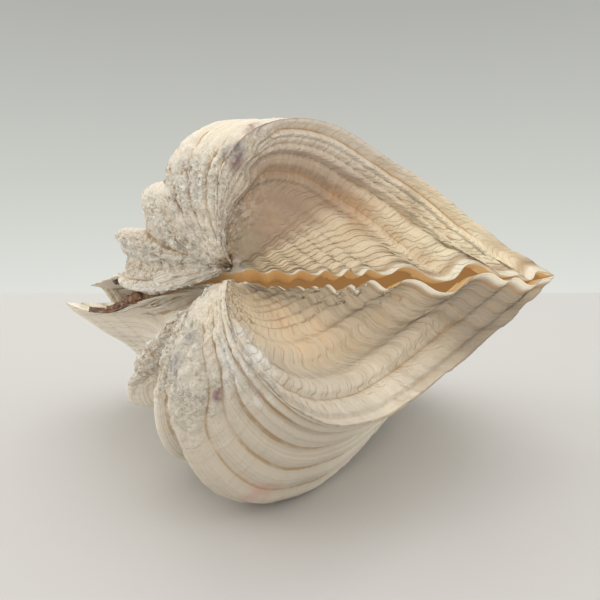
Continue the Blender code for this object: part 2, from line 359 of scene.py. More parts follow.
def fill_ramp(ramp, stops):
    """Put colour stops on a ramp node."""
    while len(ramp.elements) > 1:
        ramp.elements.remove(ramp.elements[-1])
    ramp.elements[0].position, ramp.elements[0].color = stops[0]
    for position, color in stops[1:]:
        ramp.elements.new(position).color = color


def notches(places, half_width, end):
    """Curve points of narrow dips, one at each (place, depth), up to an end."""
    points = [(0.0, 0.0)]
    for i, (place, depth) in enumerate(places):
        before = (places[i - 1][0] + place) / 2 if i else 0.0
        after = (places[i + 1][0] + place) / 2 if i + 1 < len(places) else end
        left_foot = max(place - half_width, before + 0.1 * half_width)
        right_foot = min(place + half_width, after - 0.1 * half_width)
        points += [(left_foot, 0.0), (place, depth), (right_foot, 0.0)]
    return points + [(end, 0.0)]


def row_turns(sizes, last_turn, count):
    """Turns that space the rows of the outside evenly along the keel, as (share, turn) points."""
    walked = [0.0]
    spots = []
    for i in range(WALK_STEPS + 1):
        turn = last_turn * i / WALK_STEPS
        j = max(k for k in range(len(sizes) - 1) if sizes[k][0] <= turn + 1e-9)
        t = (turn - sizes[j][0]) / (sizes[j + 1][0] - sizes[j][0])
        size = math.exp(math.log(sizes[j][1]) * (1 - t) + math.log(sizes[j + 1][1]) * t)
        spots.append((size * math.cos(math.radians(turn)), size * math.sin(math.radians(turn))))
        if i:
            walked.append(walked[-1] + math.dist(spots[-1], spots[-2]) + LEAST_STEP)
    points = []
    for k in range(count + 1):
        goal = walked[-1] * k / count
        i = min(range(WALK_STEPS + 1), key=lambda n: abs(walked[n] - goal))
        points.append((k / count, last_turn * i / WALK_STEPS))
    return points


def valve_places(g, shape):
    """Where a point of the grid lies: on which stretch of the margin, how far along it, and how old."""
    across, upward = g.split(g.node("GeometryNodeInputPosition"))[:2]
    u = across + 0.5
    u = u * (u < 1 - HALF_COLUMN)
    v = upward + 0.5
    at = SimpleNamespace(u=u, v=v)
    at.on_lunule = u < LUNULE_END - HALF_COLUMN
    at.on_beak = u > BEAK_START + HALF_COLUMN
    at.on_hinge = (u > HINGE_START + HALF_COLUMN) * (1 - at.on_beak)
    at.on_edge = (1 - at.on_lunule) * (1 - at.on_hinge) * (1 - at.on_beak)
    at.inside = v > OUTER_END + HALF_ROW
    at.front = u.span(0.0, LUNULE_END) * (1 - BEAK_SHARE) + BEAK_SHARE
    at.back = (1 - u.span(HINGE_START, BEAK_START)) * (1 - BEAK_SHARE) + BEAK_SHARE
    at.angle = u.span(LUNULE_END, HINGE_START) * HINGE_ANGLE
    at.share = at.front * at.on_lunule + at.on_edge + at.back * at.on_hinge + BEAK_SHARE * at.on_beak

    turn = g.curve(1 - v.span(0.0, OUTER_END), row_turns(shape["sizes"], LAST_TURN, TURN_POINTS))
    at.turn = turn * (1 - at.inside) + v.span(RIM_END, 1.0) ** BOWL_PACE * BOWL_TURN * at.inside
    at.age = g.curve(at.turn, [(place, math.log(size)) for place, size in shape["sizes"]]) * -1
    at.size = (at.age * -1).math("EXPONENT") * (v > HALF_ROW)
    at.path = (1 - v.span(0.0, OUTER_END)) * OUTER_ROWS
    return at


def margin_height(g, at, side, shape):
    """Height of today's margin over the plane where the valves meet, in millimetres."""
    gap = EDGE_GAP + (BEAK_GAP - EDGE_GAP) * (1 - at.front ** 3)
    gap = (gap + LUNULE_BOW * (at.front * math.pi).math("SINE")) * at.on_lunule
    gap = gap + g.curve(at.angle, EDGE_GAPS) * at.on_edge + g.curve(at.back, HINGE_GAPS) * at.on_hinge
    tooth = g.curve(at.front, shape["teeth"]) * at.on_lunule * (1 - at.front.smooth(0.985, 1.0))
    rise = g.curve(at.angle, EDGE_WAVES) * at.on_edge + g.curve(at.angle, WING_RISES) * at.on_edge
    rise = rise + g.curve(at.back, HINGE_RISES) * at.on_hinge + tooth
    rise = rise + (gap - BEAK_GAP) * (1 - at.on_beak) * (side / 2)
    sag = g.curve(at.front, shape["sag"]) * at.on_lunule
    sag = sag + g.curve(at.back, shape["hinge_sag"]) * at.on_hinge
    return rise - sag - at.on_beak * shape["sag"][0][1]


def margin_spot(g, at, side, shape):
    """A point of today's margin with its folds, before it is shrunk and turned to its age."""
    hinge_length = LEFT_HINGE if side > 0 else RIGHT_HINGE
    shorter = at.angle.smooth(92, HINGE_ANGLE) * (1 - hinge_length / RIGHT_HINGE)
    reach = g.curve(at.angle, MARGIN_RADII) * (1 - shorter) * MM * at.share
    bearing = at.angle * DEGREE
    keel = at.front.smooth(0.93, 1.0) * at.on_lunule
    fold = (g.curve(at.angle, shape["folds"]) * at.on_edge + shape["folds"][0][1] * keel) * MM
    ramp = at.turn.span(0.0, FOLD_START) * (1 - at.inside * INNER_FOLD_LOSS)
    young = at.turn.smooth(*SWELL_TURNS) * (1 - at.turn.smooth(*SWELL_FADE)) * (1 - at.inside)
    swell = young * g.curve(at.angle, shape["swells"]) * at.on_edge + 1
    swollen = (ramp * fold / reach.high(0.02) + 1) * swell
    chord = at.u.span(BEAK_START, 1.0)
    corner = math.radians(HINGE_ANGLE)
    chord_x = (1 - chord) * hinge_length * math.cos(corner) + chord * LUNULE_LENGTH
    chord_x = chord_x * (BEAK_SHARE * MM)
    chord_y = (1 - chord) * (hinge_length * math.sin(corner) * BEAK_SHARE * MM)
    x = reach * bearing.math("COSINE") * swollen * (1 - at.on_beak) + chord_x * at.on_beak
    y = reach * bearing.math("SINE") * swollen * (1 - at.on_beak) + chord_y * at.on_beak
    return x, y, margin_height(g, at, side, shape) * swollen * MM


def hollowed(at, x, y, z):
    """Pull the inner rows in from the edge and close them to a bowl; gives also how far in they lie."""
    width = (BEAK_PLATE + (EDGE_WIDTH - BEAK_PLATE) * at.front.smooth(0.0, 0.35)) * at.on_lunule
    lip = EDGE_WIDTH + (HINGE_PLATE - EDGE_WIDTH) * at.angle.smooth(85, HINGE_ANGLE)
    width = width + lip * at.on_edge
    width = width + (BEAK_PLATE + (HINGE_PLATE - BEAK_PLATE) * at.back.smooth(0.0, 0.4)) * at.on_hinge
    width = width + at.on_beak * BEAK_PLATE
    inset = width * at.v.span(OUTER_END, RIM_END) ** RIM_BEND
    cx, cy = BOWL_CENTRE[0] * MM, BOWL_CENTRE[1] * MM
    dx, dy = cx - x, cy - y
    far = (dx * dx + dy * dy + z * z).math("SQRT")
    closing = (1 - (at.turn * (1 / BOWL_TURN)).low(1.0) ** BOWL_ROUND).math("SQRT")
    keep = closing * (1 - inset * MM / far)
    x = x + (cx - dx * keep - x) * at.inside
    y = y + (cy - dy * keep - y) * at.inside
    z = z + (z * keep - z) * at.inside
    return x, y, z, inset


def coiled(g, at, side, x, y, z):
    """Shrink a point and turn it about the hinge axis to where the shell was at its age."""
    axis_x, axis_y = math.cos(math.radians(AXIS_ANGLE)), math.sin(math.radians(AXIS_ANGLE))
    radians = at.turn * DEGREE
    cosine, sine = radians.math("COSINE"), radians.math("SINE")
    down_axis = (x * axis_x + y * axis_y) * at.size
    out = x * axis_y - y * axis_x
    ahead = (out * cosine - z * sine * side) * at.size
    height = (out * sine * side + z * cosine) * at.size + side * BEAK_GAP / 2 * MM
    return g.vector(down_axis * axis_x + ahead * axis_y, down_axis * axis_y - ahead * axis_x, height)


def front_ridges(g, at, side, shape):
    """Place across the heart-shaped face, which drifts with age, and the height of its ridges."""
    drift = g.curve(at.turn, shape["drift"])
    if side < 0:
        drift = drift * (1 - at.front.smooth(0.6, 0.9))
    place = (at.front * (drift + 1)).low(shape["riblets"][-1][0])
    ridges = g.curve(place, shape["riblets"])
    if side > 0:
        ridges = ridges * (1 - at.turn.smooth(25, 60) * (1 - place.smooth(0.45, 0.6)) * 0.5)
    else:
        ridges = ridges * (0.45 + place.smooth(0.4, 0.6) * 0.55)
    flat_lip = (1 - at.turn.smooth(5, 26)) * place.smooth(0.6, 0.8)
    return place, ridges * (1 - flat_lip * shape["flat_lip"])


def furrow_depths(g, at, shape, ridge_place):
    """Narrow creases of the front face, furrows of the outside, and the furrows' wide shoulders."""
    lean = g.curve(at.turn, shape["lean"]) * at.angle.smooth(8, 14)
    leaning = (at.angle + lean).low(HINGE_ANGLE)
    creases = g.curve(ridge_place.low(1.4), notches(shape["creases"], CREASE_HALF, 1.41))
    creases = creases * at.on_lunule * at.turn.smooth(*CREASE_TURNS)
    fading = at.turn.smooth(*FURROW_TURNS) * (1 - at.turn.smooth(*FURROW_FADE) * 0.6) * at.on_edge
    furrows = g.curve(leaning, notches(shape["furrows"], FURROW_HALF, 112.5)) * at.on_edge * fading
    shoulders = g.curve(leaning, notches(shape["furrows"], SHOULDER_HALF, 112.5)) * fading
    hinge_furrows = g.curve(at.age.low(2.6), notches(HINGE_FURROWS, HINGE_FURROW_HALF, 2.61))
    return creases, furrows + hinge_furrows * at.on_hinge, shoulders


def valley_depths(g, at, side, shape):
    """Deep valleys between the old ribs, on the right valve also across the hinge side."""
    valleys = g.curve(at.angle, notches(shape["valleys"], VALLEY_HALF, HINGE_ANGLE))
    valleys = valleys * at.on_edge * at.turn.smooth(*VALLEY_TURNS)
    valleys = valleys * (1 - at.turn.smooth(*VALLEY_FADE))
    if side < 0:
        hinge_side = at.on_hinge + at.on_edge * at.angle.smooth(100, 111)
        across = g.curve(at.age.low(2.2), notches(HINGE_VALLEYS, HINGE_VALLEY_HALF, 2.21))
        valleys = valleys + across * hinge_side * at.back.smooth(1.0, 0.9)
    return valleys


def growth_lines(g, at, shape, ridges, ridge_place, seed):
    """Count of growth lines at a point, how crowded they are, and the height of their steps."""
    bent = ridges * (10 - ridge_place.smooth(0.35, 0.55) * 4) * at.on_lunule
    bent = bent * (1 - at.turn.smooth(25, 60) * 0.75)
    wander = g.noise_sheet(at.u * 46 + seed, at.path * 0.03, 3.0, 0.6)
    patch = g.noise_sheet(at.u * 9 + seed, at.path * 0.016)
    uneven = g.noise_line(at.path * 0.11 + seed, 2.0)
    phase = (at.path + bent + (wander - 0.5) * LINE_WANDER) * (1 / LINE_ROWS) + uneven * LINE_UNEVEN
    slow, fast = phase.math("FRACT"), (phase * 2).math("FRACT")
    crowded = at.front.smooth(0.35, 0.7) * at.on_lunule + at.on_edge
    lamella = slow.smooth(*SLOW_STEP) * (1 - slow) * (1.2 - crowded * 0.5)
    lamella = lamella + fast.smooth(*FAST_STEP) * (1 - fast) * (0.2 + crowded * 0.5)
    rests = g.curve((at.age + (wander - 0.5) * 0.02).low(1.0), RESTS)
    old_face = at.turn.smooth(30, 60) * (1 - ridge_place.smooth(0.45, 0.65)) * shape["calm_face"]
    calm = 1 - 0.6 * at.on_edge - at.on_lunule * (old_face + ridge_place.smooth(0.84, 0.94) * 0.75)
    lines = (lamella * 0.75 - 0.25) * (0.55 + patch * 0.9) * calm + rests * (0.5 + patch)
    return phase, crowded, lines


def wear(at):
    """How far the crumbly crust of the old shell covers a point."""
    old_hinge = at.age.smooth(0.05, 0.5) * (1 - at.back.smooth(0.5, 0.95))
    worn = at.age.smooth(1.05, 1.45) * at.on_edge + old_hinge * 0.4 * at.on_hinge
    return worn + at.age.smooth(0.75, 1.3) * 0.55 * at.on_lunule


def carved(g, at, side, shape, given):
    """Everything low on the surface: the values that the mesh stores, by name."""
    ridge_place, ridges = front_ridges(g, at, side, shape)
    creases, furrows, shoulders = furrow_depths(g, at, shape, ridge_place)
    valleys = valley_depths(g, at, side, shape)
    threads = ((at.angle * 2.6).math("SINE") * 0.10 + (at.angle * 4.3 + 1).math("SINE") * 0.07) * at.on_edge
    phase, crowded, lines = growth_lines(g, at, shape, ridges, ridge_place, given["Seed"])
    lines = lines * given["Line Relief"] * (1 - at.on_beak)
    deep = ridges * at.on_lunule + threads - shoulders * SHOULDER_DEPTH - valleys
    deep = deep * given["Ridge Relief"] - creases * CREASE_DEPTH - furrows * FURROW_DEPTH
    relief = (lines + deep) * (at.size ** 0.6) * at.turn.smooth(0.0, 4.0) * (1 - at.inside)
    return {"age": at.age, "front": at.front * at.on_lunule, "ridge": ridge_place * at.on_lunule,
            "angle": at.angle, "edge": 1 - at.on_lunule, "inside": at.inside, "furrow": creases + furrows,
            "path": at.path, "height": lines + deep, "relief": relief * (at.v > HALF_ROW) * MM,
            "turn": at.turn, "phase": phase, "crowded": crowded, "worn": wear(at),
            "groove": shoulders + valleys}


def valve_tree(name, side, shape, material):
    """Growth of one valve: a grid whose rows are old margins, shrunk and turned about the hinge axis."""
    tree = bpy.data.node_groups.new(name + "_growth", "GeometryNodeTree")
    tree.is_modifier = True
    for label, kind in (("Columns", "NodeSocketInt"), ("Rows", "NodeSocketInt"),
                        ("Line Relief", "NodeSocketFloat"), ("Ridge Relief", "NodeSocketFloat"),
                        ("Grain Relief", "NodeSocketFloat"), ("Seed", "NodeSocketFloat")):
        tree.interface.new_socket(label, in_out="INPUT", socket_type=kind)
    tree.interface.new_socket("Geometry", in_out="OUTPUT", socket_type="NodeSocketGeometry")
    g = Graph(tree)
    entry = tree.nodes.new("NodeGroupInput")
    given = {socket.name: Wire(g, socket) for socket in entry.outputs if socket.name}
    grid = g.node("GeometryNodeMeshGrid", {}, {"Size X": 1.0, "Size Y": 1.0, "Vertices X": given["Columns"],
                                               "Vertices Y": given["Rows"]})

    at = valve_places(g, shape)
    x, y, z, inset = hollowed(at, *margin_spot(g, at, side, shape))
    spot = coiled(g, at, side, x, y, z)
    values = carved(g, at, side, shape, given)
    values["inset"] = inset
    held = grid
    for label, value in values.items():
        held = g.node("GeometryNodeStoreNamedAttribute", {"data_type": "FLOAT", "domain": "POINT"},
                      {"Geometry": held, "Name": label, "Value": value})
    moved = g.node("GeometryNodeSetPosition", {}, {"Geometry": held, "Position": spot})
    if side > 0:
        moved = g.node("GeometryNodeFlipFaces", {}, {0: moved})
    closed = g.node("GeometryNodeMergeByDistance", {}, {"Geometry": moved, "Distance": 1e-6})

    normal = g.node("GeometryNodeInputNormal")
    here = g.node("GeometryNodeInputPosition")
    saved = {label: g.node("GeometryNodeInputNamedAttribute", {"data_type": "FLOAT"}, {"Name": label})
             for label in ("relief", "worn", "inside", "turn")}
    crumbs = g.noise(here, CRUMB_SCALE, 3.0, 0.65)
    lumps = g.noise(here, LUMP_SCALE)
    grain = (crumbs - 0.5) * (saved["worn"] + SOUND_SHELL) * CRUMB_HEIGHT + (lumps - 0.5) * LUMP_HEIGHT
    grain = grain * given["Grain Relief"] * MM * (1 - saved["inside"])
    push = g.scaled(normal, saved["relief"] + grain * saved["turn"].smooth(0.0, 5.0))
    shaped = g.node("GeometryNodeSetPosition", {}, {"Geometry": closed, "Offset": push})
    rested = g.node("GeometryNodeTransform", {}, {"Geometry": shaped, "Translation": REST_SHIFT,
                                                  "Rotation": REST_POSE})
    right_way, backward, upright = g.split(g.node("GeometryNodeInputPosition"))
    pressed = g.vector(right_way, backward, upright.high(0.0))
    level = g.node("GeometryNodeSetPosition", {}, {"Geometry": rested, "Position": pressed})
    smooth = g.node("GeometryNodeSetShadeSmooth", {}, {"Geometry": level, "Shade Smooth": True})
    real = g.node("GeometryNodeRealizeInstances", {}, {0: smooth})
    ended = g.node("GeometryNodeSetMaterial", {}, {"Geometry": real, "Material": material})
    leave = tree.nodes.new("NodeGroupOutput")
    tree.links.new(ended.socket, leave.inputs[0])
    return tree


def grown(name, tree, values, material):
    """Run a tree on an empty object and keep its result as a plain mesh."""
    seedling = bpy.data.objects.new(name + "_seed", bpy.data.meshes.new(name + "_seed"))
    bpy.context.scene.collection.objects.link(seedling)
    growth = seedling.modifiers.new("growth", "NODES")
    growth.node_group = tree
    names = {item.name: item.identifier for item in tree.interface.items_tree if item.in_out == "INPUT"}
    for label, value in values.items():
        growth[names[label]] = value
    bpy.context.view_layer.update()
    mesh = bpy.data.meshes.new_from_object(seedling.evaluated_get(bpy.context.evaluated_depsgraph_get()))
    seedling.modifiers.remove(growth)
    bpy.data.objects.remove(seedling)
    mesh.name = name
    piece = bpy.data.objects.new(name, mesh)
    bpy.context.scene.collection.objects.link(piece)
    if not mesh.materials:
        mesh.materials.append(material)
    return piece


def paint(red, green, blue):
    """Linear colour from a paint chart's 0 to 255 values."""
    return tuple((value / 255) ** 2.2 for value in (red, green, blue)) + (1.0,)


CREAM = paint(243, 234, 217)
BONE = paint(238, 231, 218)
BUTTER = paint(240, 227, 200)
OLD_CREAM = paint(238, 224, 200)
DUST = paint(198, 184, 172)
# Crumb colours: darker between the crumbs is dirt and painted shade, lighter on their tops is chalk and
# painted light
CRUMB_DIRT_AND_SHADE = paint(184, 156, 122)
CRUMB_CHALK_AND_LIGHT = paint(255, 251, 240)
PIT = paint(124, 100, 84)
# Tan of the wide grooves: dirt and painted shade
GROOVE_DIRT_AND_SHADE = paint(204, 177, 140)
LINE_BROWN = paint(190, 150, 102)
STREAK_TAN = paint(200, 162, 120)
FURROW_BROWN = paint(180, 142, 98)
STRIA = paint(190, 175, 150)
# Painted shadow line below the lip
LIP_SHADOW_BROWN = paint(178, 138, 96)
# Painted shade in the hollows of the front face
HOLLOW_SHADE_TAN = paint(200, 162, 118)
LIP_WHITE = paint(252, 243, 222)
INNER_WHITE = paint(228, 218, 200)
# Tan of the inside: partly its own colour, partly painted warm bounce light and shade
INNER_TAN_AND_BOUNCE_LIGHT = paint(226, 192, 142)
TORN_FIBRE = paint(196, 160, 122)
MAUVE = paint(150, 116, 118)
SLATE = paint(128, 128, 138)
CHALK = paint(238, 236, 230)
ROSE = paint(208, 168, 158)

# Painted light: a weak glow of the rim's inner side and of the inside, as emission, standing in for light
# through the shell and bounced inside it; and the stretch along X in metres over which it and the tan of
# the inside, which is partly its own colour and partly painted warm bounce light and shade, begin
NO_GLOW = (0.0, 0.0, 0.0, 1.0)
LIP_GLOW = (0.10, 0.08, 0.06, 1.0)
INNER_GLOW = (0.100, 0.074, 0.036, 1.0)
GLOW_SIDE_SPAN = (-0.030, -0.008)

# Patches of this radius or more, in millimetres, are even, and on the lower valve are painted shade; smaller
# ones are cloudy stains
EVEN_SHADE_PATCH = 28

# Heights of the finest relief, in metres
STREAK_HEIGHT = 0.0005
GRIT_HEIGHT = 0.0008
MOTTLE_HEIGHT = 0.0012
CRUMB_BUMP = 0.0026
WORN_MOTTLE = 0.0010
PIT_DEPTH = 0.0006
LEDGE_HEIGHT = 0.0004

# Stains, and on the lower valve two large even patches of painted shade, by centre and radius in millimetres,
# colour and strength
UPPER_STAINS = [((-7.4, -39.7, 105.9), 5, MAUVE, 0.9), ((-12, -48, 99), 5, SLATE, 0.8),
                ((-12, -47.7, 96.4), 4, MAUVE, 0.7), ((-50.8, -10.7, 67.6), 8, SLATE, 0.9),
                ((-11.5, -45.2, 74), 9, paint(176, 162, 136), 0.6), ((-43, -21, 80), 5, MAUVE, 0.6),
                ((-27, -40, 96), 5, SLATE, 0.6), ((39, -17, 84), 8, paint(150, 130, 108), 0.6),
                ((56, -13, 76), 26, paint(252, 238, 206), 0.9),
                ((20, -28, 84), 12, paint(214, 170, 128), 0.5)]
# The first lower patch is painted shade on the belly, which faces down and forward
LOWER_STAINS_AND_SHADE = [((-2, -68, 20), 44, paint(204, 194, 178), 0.85), ((-9, -71, 51), 11, CHALK, 0.9),
                ((-6, -73, 45), 8, CHALK, 0.9), ((-27.5, -63.3, 45.2), 5, SLATE, 0.9),
                ((-15, -69.4, 40.3), 2.5, MAUVE, 0.9), ((-5, -73, 42.9), 3, MAUVE, 0.8),
                ((-4.3, -61, 10.9), 6, ROSE, 0.7), ((-8.5, -60, 8), 5, ROSE, 0.7),
                ((4.7, -52, 52), 14, paint(232, 198, 160), 0.6),
                # Painted shade on the lower valve's right side, which faces down
                ((64, -26, 48), 30, paint(160, 147, 130), 0.95),
                ((41, -45, 36), 22, paint(204, 190, 168), 0.7), ((-24, -64, 52), 7, SLATE, 0.5)]

# Front face: tint and shade of its old part, tint near the lip, and how far lines fade on the old part
UPPER_TINTS = (paint(180, 152, 126), paint(164, 139, 119), paint(252, 227, 186), 0.85)
LOWER_TINTS = (paint(214, 192, 158), paint(200, 180, 152), paint(176, 152, 120), 0.25)


def near(g, spot, centre, radius):
    """Soft mask round a point given in millimetres."""
    middle = tuple(c * MM for c in centre)
    far = g.node("ShaderNodeVectorMath", {"operation": "DISTANCE"}, {0: spot, 1: middle}, out=1)
    return far.smooth(radius * MM, radius * 0.35 * MM)


def shell_places(g):
    """What the mesh stored, and the noises that the finish shares."""
    at = SimpleNamespace(**{label: g.node("ShaderNodeAttribute", {"attribute_name": label}, out=2)
                            for label in STORED})
    at.spot = g.node("ShaderNodeTexCoord", out=3)
    at.outside = 1 - at.inside.smooth(0.2, 0.8)
    at.broad = g.noise(at.spot, 40.0, 3.0, 0.6)
    at.cloudy = g.noise(at.spot, 130.0, 4.0, 0.6)
    at.mottled = g.noise(at.spot, 420.0, 3.0, 0.65)
    at.gritty = g.noise(at.spot, 1100.0, 3.0, 0.7)
    at.crumbs = g.noise(at.spot, 620.0, 3.0, 0.7)
    flattened = g.node("ShaderNodeMapping", {}, {"Vector": at.spot, "Scale": (1.0, 1.0, 0.45)})
    flecks = g.noise(flattened, 1000.0, 2.0, 0.7)
    at.pits = flecks.smooth(0.62, 0.70) * at.cloudy.smooth(0.42, 0.6)
    at.crust = at.worn.low(1.0) * (0.35 + 0.65 * at.broad.smooth(0.40, 0.56))
    at.face = at.front.smooth(0.02, 0.08)
    at.old_face = at.face * (1 - at.ridge.smooth(0.6, 0.95) * 0.75) * at.turn.smooth(8, 40)
    at.streak = g.noise_line(at.path * 0.62 + at.cloudy * 1.5, 3.0, 0.8)
    phase = at.phase + (at.mottled - 0.5) * 0.14
    at.slow, at.fast = phase.math("FRACT"), (phase * 2).math("FRACT")
    return at


def chalk_color(g, at, tints):
    """Cream ground, with the darker old part and the tinted lip of the front face."""
    old_tint, old_shade, lip_tint, calm = tints
    color = g.mix(at.broad.smooth(0.35, 0.65), CREAM, BONE)
    color = g.mix(at.cloudy.smooth(0.45, 0.75) * 0.5, color, BUTTER)
    color = g.mix(at.old_face * 0.95, color, g.mix(at.cloudy.smooth(0.3, 0.7), old_tint, old_shade))
    lip_face = at.face * (1 - at.turn.smooth(16, 42))
    return g.mix(lip_face * 0.7, color, lip_tint)


def crust_color(g, at, color):
    """Crumbs, pits and dust on the worn old shell; the crumbs are darker between them, as dirt and painted
    shade, and lighter on their tops, as chalk and painted light; the wide grooves get dirt and painted shade.
    """
    color = g.mix(at.crust * at.mottled.smooth(0.46, 0.66) * 0.3, color, OLD_CREAM)
    color = g.mix(at.crust * g.noise(at.spot, 75.0, 3.0).smooth(0.56, 0.70) * 0.3, color, DUST)
    # Darker between the crumbs (dirt and painted shade) and lighter on their tops (chalk and painted light)
    between_crumbs = at.crumbs.smooth(0.47, 0.39) * (0.3 + 0.7 * at.cloudy.smooth(0.4, 0.55))
    color = g.mix(at.crust * between_crumbs * 0.8, color, CRUMB_DIRT_AND_SHADE)
    color = g.mix(at.crust * at.crumbs.smooth(0.50, 0.56) * 0.85, color, CRUMB_CHALK_AND_LIGHT)
    color = g.mix(at.crust * at.pits * 0.8, color, PIT)
    # Wide grooves and valleys of the old shell darkened: dirt and painted shade
    return g.mix(at.groove.smooth(0.1, 1.2) * at.outside * at.worn.low(1.0) * 0.2, color, GROOVE_DIRT_AND_SHADE)


def stained(g, at, color, stains_and_shade):
    """Mauve, grey and chalk stains, and large even patches of painted shade."""
    for centre, radius, tint, strength in stains_and_shade:
        mask = near(g, at.spot, centre, radius) * strength
        if radius < EVEN_SHADE_PATCH:
            mask = mask * at.cloudy.smooth(0.36, 0.58)
        color = g.mix(mask, color, tint)
    return color


def line_strength(at, calm):
    """How clearly the growth lines show."""
    on_face = at.face * (1 - 0.6 * at.front.smooth(0.90, 0.96)) + 0.12 * at.edge * (1 - at.crust)
    return at.outside * on_face * (1 - calm * at.old_face) * (0.6 + 0.4 * at.cloudy.smooth(0.36, 0.56))


def lined_color(g, at, color, strong):
    """Brown growth lines, dirt in the furrows, striae along the ribs, a painted shadow line below the lip,
    painted shade in the hollows of the front face and the bright lip.
    """
    steps = (at.slow.smooth(0.0, 0.13) * -1 + 1) * (1 - at.crowded * 0.4)
    steps = steps.high((1 - at.fast.smooth(0.0, 0.20)) * (0.15 + at.crowded * 0.7)) * strong
    color = g.mix(steps * 0.6, color, LINE_BROWN)
    lined = at.streak.smooth(0.46, 0.74) * at.outside * (0.35 + 0.5 * at.face) * (1 - 0.5 * at.old_face)
    color = g.mix(lined * 0.26, color, STREAK_TAN)
    dirt = (at.furrow * (1 + at.edge * 0.8)).smooth(0.34, 0.70)
    dirt = dirt * (0.3 + 0.7 * at.cloudy.smooth(0.38, 0.58)) * at.outside
    color = g.mix(dirt * 0.75, color, FURROW_BROWN)
    striae = g.noise_line(at.angle * 1.7 + at.broad * 3.0, 3.0, 0.75).smooth(0.42, 0.68)
    color = g.mix(striae * at.edge * at.outside * (1 - at.crust) * 0.5, color, STRIA)
    # Painted shadow: a dark line just below the bright lip, on the step under the newest growth
    shadow_below_lip = at.age.smooth(0.026, 0.034) * at.age.smooth(0.080, 0.040) * at.face * at.outside
    color = g.mix(shadow_below_lip * 0.55, color, LIP_SHADOW_BROWN)
    # Painted shade: the front face is darker where its relief is low
    hollow_shade = (at.height * -1).smooth(0.3, 1.2) * at.outside * at.face
    color = g.mix(hollow_shade * 0.3, color, HOLLOW_SHADE_TAN)
    rim = (1 - at.turn.smooth(0.6, 2.0)) * (1 - at.edge * 0.4)
    return g.mix(rim * at.outside * 0.8, color, LIP_WHITE)


def fine_relief(at, strong):
    """Streaks, grit, crumbs, pits and the ledges of the growth lines, in metres."""
    rough = at.crust * 0.75 + 0.25
    faint = 1 - at.old_face * (1 - at.ridge.smooth(0.45, 0.65)) * 0.7
    fine = at.streak * STREAK_HEIGHT * (0.35 + 0.65 * at.face) * faint
    fine = fine + at.gritty * GRIT_HEIGHT * rough + at.mottled * MOTTLE_HEIGHT * rough
    fine = fine + (at.crumbs * CRUMB_BUMP + at.mottled * WORN_MOTTLE - at.pits * PIT_DEPTH) * at.crust
    ledges = at.slow.smooth(0.0, 0.10) * (1 - at.slow) * (1.1 - at.crowded * 0.4)
    ledges = ledges + at.fast.smooth(0.0, 0.14) * (1 - at.fast) * (0.15 + at.crowded * 0.5)
    return (fine + ledges * strong * LEDGE_HEIGHT) * at.outside


def shell_material(name, stains_and_shade, tints):
    """Chalky shell: cream, brown in the furrows, grey and mauve crumbs on the old part, painted shade in
    hollows, grooves and below the lip, tan inside that is partly painted warm light, and a painted glow.
    """
    material = bpy.data.materials.new(name)
    material.use_nodes = True
    tree = material.node_tree
    shader = tree.nodes["Principled BSDF"]
    g = Graph(tree)
    at = shell_places(g)
    strong = line_strength(at, tints[-1])
    color = stained(g, at, crust_color(g, at, chalk_color(g, at, tints)), stains_and_shade)
    color = lined_color(g, at, color, strong)

    x = g.split(at.spot)[0]
    # Right of this X the inside is tan and glows: partly its own tan, partly painted warm bounce light and
    # shade
    glow_side = x.smooth(*GLOW_SIDE_SPAN)
    deep = at.inset.span(0.0, 1.0).low(1.0) * (at.inset - at.front * 1.4 * at.ridge).smooth(0.1, 0.8)
    color = g.mix(deep, color, g.mix(glow_side, INNER_WHITE, INNER_TAN_AND_BOUNCE_LIGHT))
    tree.links.new(color.socket, shader.inputs["Base Color"])
    # Painted glow: emission on the rim's inner side and the inside, standing in for light through the shell
    glow = g.mix(at.inside * (1 - deep) * glow_side, NO_GLOW, LIP_GLOW)
    glow = g.mix(deep * glow_side, glow, INNER_GLOW)
    tree.links.new(glow.socket, shader.inputs["Emission Color"])
    shader.inputs["Emission Strength"].default_value = 1.0
    shader.inputs["Specular IOR Level"].default_value = 0.3
    rough = 0.82 - 0.35 * deep - 0.15 * at.cloudy.smooth(0.5, 0.7)
    tree.links.new(rough.socket, shader.inputs["Roughness"])
    bump = g.node("ShaderNodeBump", {}, {"Strength": 0.9, "Distance": 1.0, "Height": fine_relief(at, strong)})
    tree.links.new(bump.socket, shader.inputs["Normal"])
    return material


def make_valve(name, side, shape, stains_and_shade, tints, line_relief, seed):
    """One valve from its growth tree."""
    material = shell_material(name + "_shell", stains_and_shade, tints)
    tree = valve_tree(name, side, shape, material)
    values = {"Columns": COLUMNS + 1, "Rows": ROWS + 1, "Line Relief": line_relief, "Ridge Relief": 1.0,
              "Grain Relief": 1.0, "Seed": seed}
    return grown(name, tree, values, material)


def along(table, place):
    """Value of a table at a place, straight between its points."""
    for (left_place, left_value), (right_place, right_value) in zip(table, table[1:]):
        if place <= right_place:
            share = (place - left_place) / (right_place - left_place)
            return left_value + (right_value - left_value) * max(share, 0.0)
    return table[-1][1]


# Flakes: place of the middle along the hinge; half length, half width and half thickness, lift of
# the rims, droop of the outer rim, all in millimetres; and a seed for the tears
STRIP_FLAKES = [(0.64, (20, 1.7, 0.3), 0.3, -1.3, 1.0), (0.58, (12, 1.3, 0.2), 1.2, 0.3, 5.0),
                (0.50, (5, 1.6, 0.18), 2.0, 0.0, 9.0), (0.76, (6, 1.1, 0.2), 0.9, -1.2, 13.0)]
SCRAP_FLAKES = [(0.72, (6.5, 2.0, 0.35), 0.3, -0.6, 3.0), (0.70, (3.5, 1.2, 0.25), 1.2, 0.4, 8.0)]
FLAKE_LENGTH_STEPS = 46
FLAKE_WIDTH_STEPS = 10
FLAKE_INSET = 0.6
FLAKE_LIFT = 0.5


